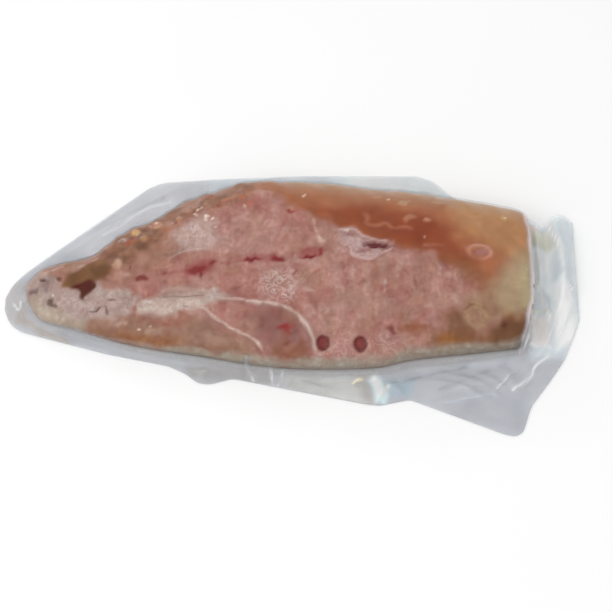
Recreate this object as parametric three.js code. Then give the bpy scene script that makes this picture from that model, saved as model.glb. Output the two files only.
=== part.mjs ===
// A frozen fish fillet in a clear vacuum pouch.
//
// The fillet lies flat, tail to -X and the square cut end to +X, back edge to +Y and belly edge to -Y.
// It is packed between two films, a lower one that lies flat and an upper one that is drawn down over
// the fish and meets the lower one around it. Millimetres, +Z up, origin at the middle of the pouch's
// footprint, on the surface that it lies on.
import * as THREE from 'three';

// Driving dimensions.
const POUCH_HALF_LENGTH = 138;
const POUCH_HALF_WIDTH = 71;
const FILLET_TAIL_X = -125;
const FILLET_CUT_X = 115.5;
const FILM = 0.1;
const GAP = 0.3;
const FILM_TOP = FILM + GAP;
const FILLET_BASE = FILM + GAP;

// Mesh steps.
const LONGEST_STEP = 9;
const ACROSS_FILLET = 16;
const ACROSS_MARGIN = 3;
const EDGE_SAMPLES = 200;
const SAME_STATION = 0.01;

// Outline of the fillet seen from above, as [x, y] from tail to cut end.
const BACK_EDGE = [
  [FILLET_TAIL_X, 8], [-119, 16], [-104, 21], [-93, 26], [-83, 34], [-68, 43], [-50, 54], [-30, 60.5],
  [-14, 62], [28, 58.5], [76, 52], [100, 47.5], [110, 45], [FILLET_CUT_X, 41],
];
const BELLY_EDGE = [
  [FILLET_TAIL_X, 1], [-119, -7], [-104, -16], [-88, -22], [-68, -27], [-44, -31], [-20, -35.5],
  [4, -38], [40, -37.5], [56, -33.5], [90, -29.5], [106, -27], [112, -24], [FILLET_CUT_X, -17],
];

// Height of the fillet's crest above its base, and where the crest lies between belly 0 and back 1.
const CREST_HEIGHT = [
  [FILLET_TAIL_X, 6], [-118, 8.5], [-95, 11], [-60, 16], [-15, 21], [30, 23.5], [75, 23], [105, 20.5],
  [FILLET_CUT_X, 18],
];
const CREST_PLACE = [[FILLET_TAIL_X, 0.5], [-60, 0.56], [30, 0.52], [FILLET_CUT_X, 0.6]];

// A section rises steeply at its edges and is nearly flat on top.
const SECTION_POWER = 2.5;
const SIDE_HEIGHT_SHARE = 0.3;
const BASE_INSET = 1.5;

// Outline of the pouch seen from above, straight between these points.
const POUCH_BACK_EDGE = [
  [-POUCH_HALF_LENGTH, 2], [-136, 8], [-130, 15], [-116, 27], [-88, 50], [-71, 64], [-64, 67],
  [-30, 69.5], [6, POUCH_HALF_WIDTH], [62, POUCH_HALF_WIDTH], [70, 68], [78, 60], [87, 54],
  [100, 51.5], [115, 48.5], [122, 39], [128.5, 47], [132, 48], [POUCH_HALF_LENGTH, 44],
];
const POUCH_FRONT_EDGE = [
  [-POUCH_HALF_LENGTH, -4], [-136, -11], [-130, -16], [-116, -20], [-88, -28], [-58, -34.5],
  [-50, -38.5], [-44, -43.5], [-38, -44], [-28, -41], [36, -54.5], [42, -55], [56, -52],
  [100, -70], [105, -POUCH_HALF_WIDTH], [110, -68], [111, -58], [122, -43], [130, -31],
  [POUCH_HALF_LENGTH, -10],
];

// The upper film leaves the fillet's foot at a slope and lands this far out, or at this share of the way
// to the pouch's edge where that is nearer. Past the fish's ends it keeps this share of its width as margin.
const FOOT_REACH = 3.5;
const END_REACH = 5;
const FOOT_MOST_SHARE = 0.6;
const FLAT_MARGIN_SHARE = 0.15;

// Loose film past the cut end stands up in two soft pleats, as [x of the top, y of its middle, half width,
// half length, height].
const PLEATS = [
  [120, 22, 3.2, 26, 5],
  [131, 20, 4.2, 30, 8],
];

const FILLET_COLOUR = 0xb07f6e;
const FILM_COLOUR = 0xdfe5e8;

// A line through [x, value] points, read as the value at x.
function valueAt(points, x) {
  const last = points.length - 1;
  const found = points.findIndex((point, i) => i < last && x <= points[i + 1][0]);
  const i = found < 0 ? last - 1 : found;
  const [x0, value0] = points[i];
  const [x1, value1] = points[i + 1];
  const share = THREE.MathUtils.clamp((x - x0) / (x1 - x0), 0, 1);
  return THREE.MathUtils.lerp(value0, value1, share);
}

// The same, along a smooth spline through the points.
function smoothLine(points) {
  const spline = new THREE.SplineCurve(points.map(([x, value]) => new THREE.Vector2(x, value)));
  const samples = spline.getPoints(EDGE_SAMPLES).map((point) => [point.x, point.y]);
  return (x) => valueAt(samples, x);
}

const backEdge = smoothLine(BACK_EDGE);
const bellyEdge = smoothLine(BELLY_EDGE);
const crestHeight = smoothLine(CREST_HEIGHT);
const crestPlace = smoothLine(CREST_PLACE);

// Every x where an outline turns, with more between them so that no step is long.
function stationsBetween(from, to) {
  const corners = [...BACK_EDGE, ...BELLY_EDGE, ...POUCH_BACK_EDGE, ...POUCH_FRONT_EDGE]
    .map(([x]) => x)
    .concat(from, to)
    .filter((x) => x >= from && x <= to)
    .sort((a, b) => a - b)
    .filter((x, i, all) => i === 0 || x - all[i - 1] > SAME_STATION);
  const stations = [corners[0]];
  corners.slice(1).forEach((corner) => {
    const start = stations[stations.length - 1];
    const steps = Math.ceil((corner - start) / LONGEST_STEP);
    for (let k = 1; k <= steps; k += 1) {
      stations.push(THREE.MathUtils.lerp(start, corner, k / steps));
    }
  });
  return stations;
}

// The fillet's upper surface at x, a share of the way round from the belly edge 0 to the back edge 1.
function filletSkin(x, round) {
  const angle = Math.PI * round;
  const belly = bellyEdge(x);
  const back = backEdge(x);
  const crest = THREE.MathUtils.lerp(belly, back, crestPlace(x));
  const power = 2 / SECTION_POWER;
  const out = Math.sign(Math.cos(angle)) * Math.abs(Math.cos(angle)) ** power;
  const up = Math.abs(Math.sin(angle)) ** power;
  const y = crest - out * (out > 0 ? crest - belly : back - crest);
  const side = crestHeight(x) * SIDE_HEIGHT_SHARE;
  return { y, z: FILLET_BASE + side + (crestHeight(x) - side) * up };
}

// How far the loose film stands up at a place past the fillet's cut end.
function pleatHeight(x, y) {
  return PLEATS.reduce((total, [topX, middleY, halfWidth, halfLength, height]) => {
    const across = Math.exp(-(((x - topX) / halfWidth) ** 2));
    const along = Math.exp(-(((y - middleY) / halfLength) ** 4));
    return total + height * across * along;
  }, 0);
}

// A box whose grid points are moved by place(station, across, up), which gives [x, y, z].
// Lengthways the grid follows the stations, and across it has acrossSteps.
function shapedBox(stations, acrossSteps, place) {
  const steps = stations.length - 1;
  const geometry = new THREE.BoxGeometry(steps, acrossSteps, 1, steps, acrossSteps, 1);
  const position = geometry.getAttribute('position');
  for (let i = 0; i < position.count; i += 1) {
    const station = Math.round(position.getX(i) + steps / 2);
    const across = Math.round(position.getY(i) + acrossSteps / 2);
    position.setXYZ(i, ...place(stations[station], across, position.getZ(i) > 0));
  }
  geometry.computeVertexNormals();
  return geometry;
}

function makeFillet() {
  const place = (x, across, upper) => {
    const skin = filletSkin(x, across / ACROSS_FILLET);
    if (upper) return [x, skin.y, skin.z];
    const middle = (bellyEdge(x) + backEdge(x)) / 2;
    const half = (backEdge(x) - bellyEdge(x)) / 2;
    const y = middle + (skin.y - middle) * (1 - BASE_INSET / half);
    return [x, y, FILLET_BASE];
  };
  const geometry = shapedBox(stationsBetween(FILLET_TAIL_X, FILLET_CUT_X), ACROSS_FILLET, place);
  const material = new THREE.MeshStandardMaterial({ color: FILLET_COLOUR, roughness: 0.35, metalness: 0 });
  const fillet = new THREE.Mesh(geometry, material);
  fillet.name = 'fish_fillet';
  return fillet;
}

// The film's lower side over a station: margin, foot, over the fish, foot, margin.
function filmSection(x) {
  const inside = THREE.MathUtils.clamp(x, FILLET_TAIL_X, FILLET_CUT_X);
  const drawnUp = Math.max(0, 1 - Math.abs(x - inside) / END_REACH);
  const front = valueAt(POUCH_FRONT_EDGE, x);
  const back = valueAt(POUCH_BACK_EDGE, x);
  const belly = bellyEdge(inside);
  const spine = backEdge(inside);
  const middle = (belly + spine) / 2;
  const grown = 1 + (2 * GAP) / (spine - belly);
  const flatFront = THREE.MathUtils.lerp(front, back, FLAT_MARGIN_SHARE);
  const flatBack = THREE.MathUtils.lerp(back, front, FLAT_MARGIN_SHARE);
  const overFish = Array.from({ length: ACROSS_FILLET + 1 }, (_, across) => {
    const skin = filletSkin(inside, across / ACROSS_FILLET);
    const flat = THREE.MathUtils.lerp(flatFront, flatBack, across / ACROSS_FILLET);
    const y = THREE.MathUtils.lerp(flat, middle + (skin.y - middle) * grown, drawnUp);
    return [y, FILM_TOP + (skin.z + GAP - FILM_TOP) * drawnUp];
  });
  const firstOver = overFish[0][0];
  const lastOver = overFish[ACROSS_FILLET][0];
  const frontFoot = Math.max(firstOver - FOOT_REACH, THREE.MathUtils.lerp(firstOver, front, FOOT_MOST_SHARE));
  const backFoot = Math.min(lastOver + FOOT_REACH, THREE.MathUtils.lerp(lastOver, back, FOOT_MOST_SHARE));
  const margin = (from, to) =>
    Array.from({ length: ACROSS_MARGIN }, (_, k) => [
      THREE.MathUtils.lerp(from, to, k / (ACROSS_MARGIN - 1)),
      FILM_TOP,
    ]);
  return [...margin(front, frontFoot), ...overFish, ...margin(backFoot, back)];
}

function makeUpperFilm() {
  const stations = [
    ...stationsBetween(-POUCH_HALF_LENGTH, FILLET_TAIL_X - END_REACH),
    ...stationsBetween(FILLET_TAIL_X, FILLET_CUT_X),
    ...stationsBetween(FILLET_CUT_X + END_REACH / 2, POUCH_HALF_LENGTH),
  ];
  const acrossSteps = ACROSS_FILLET + 2 * ACROSS_MARGIN;
  const sections = new Map(stations.map((x) => [x, filmSection(x)]));
  const place = (x, across, upper) => {
    const [y, z] = sections.get(x)[across];
    return [x, y, z + pleatHeight(x, y) + (upper ? FILM : 0)];
  };
  const geometry = shapedBox(stations, acrossSteps, place);
  const upperFilm = new THREE.Mesh(geometry, filmMaterial());
  upperFilm.name = 'pouch_upper_film';
  return upperFilm;
}

function makeLowerFilm() {
  const outline = new THREE.Shape(
    [...POUCH_FRONT_EDGE, ...POUCH_BACK_EDGE.toReversed()].map(([x, y]) => new THREE.Vector2(x, y)),
  );
  const geometry = new THREE.ExtrudeGeometry(outline, { depth: FILM, bevelEnabled: false });
  const lowerFilm = new THREE.Mesh(geometry, filmMaterial());
  lowerFilm.name = 'pouch_lower_film';
  return lowerFilm;
}

function filmMaterial() {
  return new THREE.MeshStandardMaterial({
    color: FILM_COLOUR,
    roughness: 0.15,
    metalness: 0,
    transparent: true,
    opacity: 0.3,
  });
}

const packedFillet = new THREE.Group();
packedFillet.add(makeFillet(), makeUpperFilm(), makeLowerFilm());

export default packedFillet;
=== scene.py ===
"""A fish fillet in a clear pouch: the looks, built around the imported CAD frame.

Shapes are worked out in millimetres and handed to Blender in metres. X runs from the tail to the cut
end, Y to the back edge and Z up.
"""
import itertools
import math

import bmesh
import bpy
import numpy as np
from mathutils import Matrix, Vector
from mathutils.bvhtree import BVHTree


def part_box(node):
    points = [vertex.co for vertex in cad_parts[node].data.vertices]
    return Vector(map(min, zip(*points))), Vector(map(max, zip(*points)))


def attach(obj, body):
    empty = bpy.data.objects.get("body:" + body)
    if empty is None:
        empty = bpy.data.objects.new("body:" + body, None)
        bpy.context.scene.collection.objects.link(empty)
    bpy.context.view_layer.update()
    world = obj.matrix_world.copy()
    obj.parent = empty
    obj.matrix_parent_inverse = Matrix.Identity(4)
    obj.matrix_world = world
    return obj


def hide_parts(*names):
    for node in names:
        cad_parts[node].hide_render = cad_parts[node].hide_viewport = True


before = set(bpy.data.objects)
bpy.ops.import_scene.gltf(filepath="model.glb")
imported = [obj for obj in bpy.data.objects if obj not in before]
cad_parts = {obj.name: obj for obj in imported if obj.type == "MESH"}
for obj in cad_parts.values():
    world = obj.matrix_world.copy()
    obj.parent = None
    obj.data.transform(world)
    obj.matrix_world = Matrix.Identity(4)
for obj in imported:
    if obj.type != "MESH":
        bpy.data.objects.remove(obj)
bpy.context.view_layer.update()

MM = 0.001

# --- Fillet mesh ---
FLESH_VOXEL = 0.78
FLESH_SMOOTHING = 20
FLESH_SWELL = 0.5
FLESH_FLOOR = 0.45
UP_FACING = (0.05, 0.5)
DOWN_FACING = (0.3, 0.8)

# The cut end is smoothed less than the rest, and trimmed to a bowed face.
END_SMOOTHING = 4
END_BLEND = (98, 108)
END_CROWN_X = 115.2
END_CROWN_Y = 2.0
END_BOW_BACK = 0.0013
END_BOW_BELLY = 0.007
END_ROUNDING = 0.5

# The tail is drawn out towards its tip and its front.
TAIL_BLEND = (-126, -98)
TAIL_FRONT = (-8, 6)
TAIL_LENGTHENING = 2.6
TAIL_WIDENING = 5.0

# The underside's dark middle line, and the pale muscle lines that slant away from it.
KEEL_Y = 11.0
KEEL_WIDTH = 5.0
SEAM_PITCH = 1.15

# --- Pouch mesh ---
FILM_THICKNESS = 0.1
FILM_STATIONS = 290
FILM_ACROSS = 138
FILM_CLEARANCE = 0.2
FILM_REST = 0.42
DRAPE_ROUNDS = 7
CONTACT_SOFTENING = 2
CONTACT_HAZE = 0.004
GRID_STEP = 1.0
OUTLINE_ROUNDING = 4
RAY_HEIGHT = 60.0

# --- Camera ---
VIEW_ELEVATION = 62.0
VIEW_WIDTH = 0.295
VIEW_AIM = (0.007, -0.0019, 0.0)
LENS = 120.0
SENSOR = 36.0

# --- Studio ---
FLOOR_HALF = 3.0
FLOOR_DROP = 0.0002
SKY_STRENGTH = 0.85

# Lights as [name, place, size, power].
LIGHTS = [("front_softbox", (-0.55, -0.42, 1.05), 1.0, 6.0), ("back_strip", (-0.5, 1.0, 0.42), 0.15, 0.7)]


def srgb(red, green, blue):
    """A colour given as sRGB from 0 to 255, as the linear values that shaders use."""
    share = np.array([red, green, blue], float) / 255
    return np.where(share <= 0.04045, share / 12.92, ((share + 0.055) / 1.055) ** 2.4)


# The film and its gloss add this much light to the flesh, and the studio is this bright, so the flesh's
# own colours are deeper than the ones below, which are as it looks in its pouch.
FILM_LIFT = 0.008
STUDIO_GAIN = 1.17

# Flesh colours.
PINK = srgb(170, 117, 107)
PALE_PINK = srgb(184, 142, 131)
DEEP_PINK = srgb(152, 92, 84)
TAN_FLESH = srgb(166, 124, 104)
WALL = srgb(162, 149, 134)
WALL_FOOT = srgb(122, 110, 100)
TORN_RIM = srgb(150, 108, 82)
# The white of the painted glints.
GLINT_WHITE = srgb(250, 226, 206)
UNDER = srgb(192, 152, 136)
PALE_SEAM = srgb(214, 190, 178)
# Dark muscle, also the painted shade below the raised lines.
DARK_MUSCLE_AND_SHADE = srgb(122, 76, 64)
HOLE_FLOOR = srgb(124, 48, 44)
HOLE_RIM = srgb(84, 24, 22)
# Painted rim light: the paler colour of the side facing the back.
BACK_RIM_LIGHT = srgb(186, 158, 130)
END_FLESH = srgb(186, 160, 130)

# The band of smooth, glassy brown flesh along the back.
GLASSY = [(-18, 66), (-16, 52), (-4, 46), (8, 37), (19, 31), (31, 26), (44, 19), (58, 17), (68, 15),
          (75, 9), (86, 4), (93, -3), (98, -12), (100, -22), (120, -22), (120, 50), (60, 64)]

# The dark red spot below the tail's olive flesh.
DARK_SPOT = [(-107, 2.6), (-99, 5.2), (-94, 4.4), (-93, 1), (-96, -1.4), (-98.6, -4.6), (-101, -1.6),
             (-103, 0.6)]

# The torn tan flesh along the upper left edge.
TORN = [(-100, 10), (-94, 34), (-70, 50), (-52, 62), (-30, 68), (-12, 66), (-14, 52), (-30, 44), (-48, 40),
        (-58, 32), (-68, 22), (-84, 10)]

# The lists from here on give colours as sRGB from 0 to 255.

# Zones of flesh as [colour, strength, softness of the edge, outline]. Later ones lie over earlier ones.
ZONES = [
    # Lower left, tan and translucent.
    ((142, 103, 82), 0.85, 4.0, [(-104, -8), (-90, -13), (-74, -14), (-58, -15), (-40, -16), (-30, -24),
        (-18, -30), (-14, -40), (-60, -38), (-104, -22)]),
    ((152, 96, 58), 0.7, 2.5, [(-84, -19), (-74, -22), (-60, -24), (-50, -24), (-56, -29), (-76, -28)]),
    ((152, 88, 72), 0.55, 2.5, [(-66, -15), (-56, -14), (-46, -17), (-50, -21), (-60, -20)]),
    # Upper left, orange tan along the ragged edge.
    ((150, 108, 88), 0.6, 5.0, [(-98, 4), (-90, 20), (-70, 32), (-52, 38), (-50, 22), (-62, 10),
        (-80, -1)]),
    ((146, 100, 78), 0.88, 3.0, TORN),
    # Tail, olive brown, with the dark red spot at its lower edge.
    ((120, 82, 52), 0.97, 1.6, [(-111, 3), (-109, 10), (-104, 14), (-98, 18), (-91, 18), (-86, 12),
        (-90, 6), (-97, 4), (-104, 2)]),
    ((160, 122, 100), 0.8, 3.0, [(-117, 10), (-108, 20), (-96, 22), (-100, 17), (-108, 12)]),
    # Membrane over the tail.
    ((170, 145, 136), 0.95, 1.8, [(-130, 8), (-122, 12), (-113, 9), (-111, 3), (-104, 1), (-98, 1),
        (-92, 5), (-87, -1), (-80, -1), (-71, -5), (-76, -12), (-84, -15),
        (-96, -13), (-109, -15), (-124, -6)]),
    ((174, 157, 140), 0.85, 3.5, [(-134, -1), (-118, -3), (-106, -11), (-98, -14), (-102, -25),
        (-120, -19), (-134, -13)]),
    ((84, 32, 22), 0.98, 1.0, DARK_SPOT),
    # Brown band along the back.
    ((168, 102, 68), 0.96, 2.6, GLASSY),
    ((146, 74, 46), 0.92, 4.5, [(6, 41), (20, 39), (34, 42), (50, 38), (66, 36), (74, 30), (79, 19),
        (86, 10), (76, 7), (67, 14), (55, 18), (44, 20), (31, 27), (18, 32)]),
    ((140, 64, 38), 0.65, 5.0, [(47, 30), (58, 31), (68, 29), (70, 22), (58, 20), (46, 23)]),
    ((184, 134, 92), 0.92, 5.5, [(76, 52), (92, 50), (120, 48), (120, 8), (106, 12), (94, 20),
        (84, 24), (78, 36)]),
    ((146, 94, 64), 0.75, 3.5, [(72, 14), (84, 10), (93, 3), (100, -5), (97, -13), (88, -6), (78, 4)]),
    ((176, 154, 124), 0.88, 6.5, [(96, -2), (101, 8), (108, 15), (120, 20), (120, -17), (102, -17),
        (94, -12)]),
    ((188, 176, 138), 0.5, 2.5, [(110, 8), (120, 12), (120, -14), (108, -13)]),
    # Lower right, brown under the pale flesh.
    ((130, 86, 58), 0.9, 4.0, [(76, -14), (82, -16), (88, -24), (98, -20), (104, -16), (118, -13),
        (118, -30), (90, -33), (72, -33), (64, -29), (72, -22)]),
    ((150, 92, 42), 0.75, 2.2, [(70, -26), (78, -25), (84, -29), (78, -33), (69, -32)]),
    ((144, 82, 54), 0.75, 1.8, [(50, -23), (58, -22), (66, -23), (64, -26), (52, -26)]),
    ((152, 118, 92), 0.85, 3.4, [(88, -5), (95, -7), (99, -13), (97, -19), (92, -21), (86, -19),
        (80, -16), (84, -9)]),
    ((110, 72, 48), 0.85, 3.0, [(94, -26), (100, -20), (106, -17), (116, -16), (116, -24), (104, -29),
        (96, -30)]),
    # Pale flesh in the middle.
    ((166, 120, 106), 0.75, 2.2, [(59, 15), (68, 14), (70, 4), (66, -6), (60, -16), (54, -18), (55, -6),
        (59, 4)]),
    ((174, 136, 121), 0.6, 3.2, [(22, -5), (36, -6), (48, -12), (46, -19), (32, -18), (20, -13)]),
    ((186, 158, 149), 0.75, 3.6, [(-54, 34), (-44, 38), (-36, 34), (-33, 24), (-38, 18), (-52, 18),
        (-57, 25)]),
    ((176, 132, 122), 0.55, 2.5, [(-19, 34), (-8, 34), (-6, 24), (-9, 14), (-16, 14), (-20, 24)]),
    # Pale band of membrane from the tail to the ridges.
    ((190, 168, 158), 0.9, 1.6, [(-74, -9), (-63, -3.5), (-50, -2.4), (-37, -3.3), (-30, -7), (-36, -9.5),
        (-42, -10.9), (-46, -12.6), (-54, -14.2), (-70, -14)]),
    # Deeper pink between the two ridges.
    ((128, 79, 71), 0.85, 7.0, [(-16, -13.5), (-4, -13.5), (3, -18.5), (8, -26), (10, -33), (6, -38),
        (-9, -38), (-15, -31), (-19, -22)]),
    ((144, 90, 64), 0.6, 2.5, [(-10, -31), (0, -30), (8, -32), (8, -36), (-8, -37)]),
    # Crinkled membrane on the pink flesh's upper edge.
    ((180, 146, 141), 0.85, 1.1, [(21, 27), (25, 29), (31, 27), (36, 22), (46, 20.5), (50.5, 18.5),
        (48, 15.5), (42, 12.5), (37, 10.5), (30, 13), (28, 17.5), (22, 20.5)]),
]

BLOOD = (126, 32, 34)

# Small marks as [colour, strength, x, y, half length, half width, turn in degrees, height].
MARKS = [
    # The dark line along the middle of the fish.
    ((152, 76, 74), 0.75, -44, 8.6, 9, 4.2, 12, -0.2),
    (BLOOD, 0.75, -45, 8, 5.2, 1.8, 14, -0.35),
    (BLOOD, 0.8, -43.4, 5.4, 1.3, 2.6, 0, -0.3),
    (BLOOD, 0.7, -38, 10.6, 2.6, 0.9, 8, -0.3),
    ((150, 84, 82), 0.7, -14, 12.2, 14, 2.4, 1, -0.2),
    (BLOOD, 0.95, -18.5, 11.8, 5.2, 1.2, 1, -0.6),
    (BLOOD, 0.9, -6.6, 12.2, 3.4, 1.6, -6, -0.6),
    ((150, 72, 70), 0.75, 9.6, 14.8, 6.6, 3.6, 8, -0.2),
    (BLOOD, 0.95, 8, 12.6, 4.2, 1.1, 3, -0.6),
    ((140, 44, 46), 0.8, 14.4, 15.4, 1, 2.6, 0, -0.3),
    ((120, 42, 40), 0.85, -71, 5, 3.2, 1.9, -5, -0.4),
    ((138, 44, 40), 0.85, -0.5, 38.8, 2.2, 1, 0, -0.3),
    ((146, 30, 28), 0.95, -2.4, -23.4, 4, 1.7, 12, -0.3),
    ((140, 36, 32), 0.8, -1.2, -25.2, 1.2, 2.2, 0, -0.2),
    ((138, 78, 60), 0.6, -2.6, -28.6, 2.2, 4, 8, -0.2),
    ((120, 48, 40), 0.8, -1.6, -30.6, 2.4, 0.9, 4, -0.2),
    ((126, 58, 54), 0.8, 46.5, -24.6, 2.9, 1.7, -40, -0.6),
    ((94, 50, 36), 0.8, 100, -21, 2.4, 1.2, 10, -0.2),
    # Slits in the tail's membrane.
    ((92, 60, 50), 0.95, -119.5, 7, 2.6, 1.2, -12, -0.6),
    ((122, 98, 96), 0.85, -123.5, 1.2, 3, 1.8, 40, -0.5),
    ((134, 112, 110), 0.7, -117.6, 3, 1.6, 3.4, 10, -0.2),
    ((104, 76, 60), 0.95, -113.5, -5.3, 3.8, 1.2, -38, -0.7),
    ((108, 74, 54), 0.9, -111.8, 7.6, 1.8, 2.2, 20, -0.4),
    ((104, 80, 70), 0.95, -93, -9.6, 3.8, 0.7, 12, -0.6),
    ((104, 80, 70), 0.9, -87.4, -10.5, 0.8, 1.8, 8, -0.4),
    ((116, 84, 76), 0.85, -86, -5.4, 2.2, 0.7, -14, -0.4),
    ((86, 50, 46), 0.9, -77.4, 11.6, 1.1, 1.1, 0, -0.3),
    # The slit in the crinkled membrane.
    ((104, 34, 36), 0.95, 40.8, 18, 7.6, 2.1, -6, -1.1),
    ((146, 98, 96), 0.7, 27.5, 24.6, 3.4, 1.4, -8, -0.2),
    ((146, 96, 92), 0.65, 35, 15, 4.6, 1.5, 10, -0.2),
    ((150, 98, 92), 0.6, 46, 15.8, 3, 1.2, 20, -0.2),
    # Pale lumps and bubbles.
    ((184, 124, 96), 0.75, 56.4, 33.5, 3.3, 1.7, 20, 0.35),
    ((198, 142, 116), 0.8, 65.6, 32.5, 2.6, 1.3, 0, 0.4),
    ((192, 146, 116), 0.75, 54, 43.6, 3.6, 1.5, 16, 0.35),
    ((200, 152, 124), 0.7, 41.6, 47, 1.8, 1, 0, 0.35),
    ((196, 158, 130), 0.6, 71, 44, 3.2, 1, -8, 0.3),
    ((190, 140, 104), 0.75, 89.3, 31, 2.9, 1.9, -25, 0.35),
    ((196, 156, 104), 0.65, 102, 35.5, 1.6, 2.2, 20, 0.3),
    ((190, 150, 128), 0.75, -83.3, 14, 2.3, 3, 10, 0.45),
    ((214, 172, 118), 0.75, -75.3, 31.7, 3, 1.8, 8, 0.7),
    ((204, 156, 128), 0.8, -65, 35.8, 2.6, 2.4, 0, 0.7),
    ((186, 142, 132), 0.7, -79, 8, 3, 1.3, -30, 0.4),
    ((172, 118, 112), 0.85, 90.2, 15.2, 3.8, 2.4, 0, -0.2),
    # Short pale flakes in the pink flesh.
    ((186, 148, 136), 0.6, 29, 3, 1.3, 4.2, 8, 0.3),
    ((184, 142, 130), 0.6, 37, 6, 2.8, 1.2, 30, 0.3),
    ((180, 140, 126), 0.6, 51, 5, 1.5, 5.2, -14, 0.3),
    ((188, 148, 134), 0.6, 75, 2, 3, 1.8, -20, 0.3),
    ((186, 148, 134), 0.6, 78, -9, 1.6, 3.2, 20, 0.3),
    ((184, 146, 132), 0.6, 66, -13, 3.4, 1.4, 10, 0.3),
    ((182, 142, 130), 0.6, 17, -16, 3.2, 1.3, 40, 0.3),
    ((184, 144, 132), 0.6, -28, 24, 1.2, 4.6, -10, 0.3),
    ((182, 140, 128), 0.6, -3, 27, 1.2, 4.2, -16, 0.3),
    ((134, 82, 74), 0.6, 33, -2, 3, 1.2, 24, -0.3),
    ((134, 82, 72), 0.6, 59, -2, 1.1, 3.4, 10, -0.3),
    ((136, 80, 72), 0.6, 24, 7, 1, 2.6, 0, -0.3),
    ((132, 78, 70), 0.6, -26, -3, 3.4, 0.9, 6, -0.3),
    ((138, 84, 74), 0.6, 2, 4, 0.9, 2.4, -20, -0.3),
    # Tan and brown patches at the lower left.
    ((174, 138, 118), 0.45, -65, -22, 5, 2.4, 6, 0.15),
    ((172, 134, 114), 0.4, -36, -27, 6, 2.6, -12, 0.1),
    ((178, 138, 122), 0.6, -80, -17, 4, 1.8, 10, 0.2),
    ((132, 88, 60), 0.6, -88, -22, 5, 1.8, -14, -0.2),
    ((136, 94, 66), 0.6, -46, -31.5, 7, 1.8, -6, -0.2),
    ((140, 92, 74), 0.5, -74, -15.6, 5, 1.2, -8, -0.2),
    ((172, 122, 110), 0.5, -28, -19, 6, 2.6, -30, 0.2),
    # Bloodshot streaks in the pink.
    ((146, 74, 68), 0.6, -58, 7.2, 5, 0.9, 4, -0.2),
    ((150, 78, 72), 0.6, -30.5, 10.4, 4, 1, 2, -0.2),
    ((150, 80, 74), 0.55, 0.6, 13.6, 3, 1.1, 20, -0.2),
    ((156, 84, 78), 0.5, 13, 5, 2.6, 0.9, 30, -0.2),
    ((196, 166, 156), 0.55, -6, 3, 0.9, 3.6, 12, 0.2),
    ((196, 168, 158), 0.55, 8, -4.6, 3.6, 0.8, -24, 0.2),
    ((194, 164, 154), 0.5, 44, -4, 0.9, 4, -8, 0.2),
    ((192, 160, 150), 0.5, 70, 5.4, 1, 3.6, 16, 0.2),
    # Pale and rusty scraps along the torn edge.
    ((128, 88, 64), 0.7, -86, 19.5, 3.2, 1.6, 40, -0.5),
    ((168, 92, 66), 0.7, -78.5, 26, 3.6, 2, 20, 0.3),
    ((178, 128, 92), 0.7, -71.5, 27.4, 2.6, 1.4, 0, 0.4),
    ((150, 88, 68), 0.7, -59.5, 42, 3, 1.6, 30, -0.4),
    ((188, 132, 106), 0.7, -55, 37, 1.8, 3, 10, 0.5),
    ((166, 82, 66), 0.75, -41, 50, 4, 1.3, 25, -0.4),
    ((192, 124, 96), 0.75, -32, 47, 2.6, 1.5, 0, 0.5),
    ((158, 70, 56), 0.8, -35.4, 43.4, 1.8, 1, 20, -0.4),
    ((184, 112, 84), 0.7, -24, 48.5, 2, 2.4, 0, 0.4),
    ((176, 98, 72), 0.7, -20, 44.5, 1.6, 2.6, 10, -0.2),
    ((186, 142, 134), 0.7, -14, 51, 5, 1.6, -8, 0.4),
    ((190, 140, 130), 0.7, -9, 40.5, 1.5, 4, -12, 0.3),
]

# Painted highlights: tiny bright white glints, painted on the flesh as white spots on small raised bumps, as
# [x, y].
PAINTED_GLINTS = [(-47, 40), (-45.2, 41.6), (-43.6, 42.4), (-46, 38.6), (-40.4, 36.8), (-39, 35.4), (-41.2, 35),
          (-72.2, -20.2), (-66.4, -18.6), (-114, -2.6), (-36.4, 30), (6, 48.5), (46.3, 45.2), (-22, 42.8),
          (26.2, 27), (-65.8, 36.5), (64, 22.8), (12.4, 22.5), (103, 36)]
GLINT_LENGTH = 1.0
GLINT_WIDTH = 0.5
GLINT_TURN = 50

# Round holes with a dark floor as [x, y, radius, depth].
HOLES = [(15.0, -30.6, 3.5, 1.0), (32.5, -31.2, 3.4, 1.2)]
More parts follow.
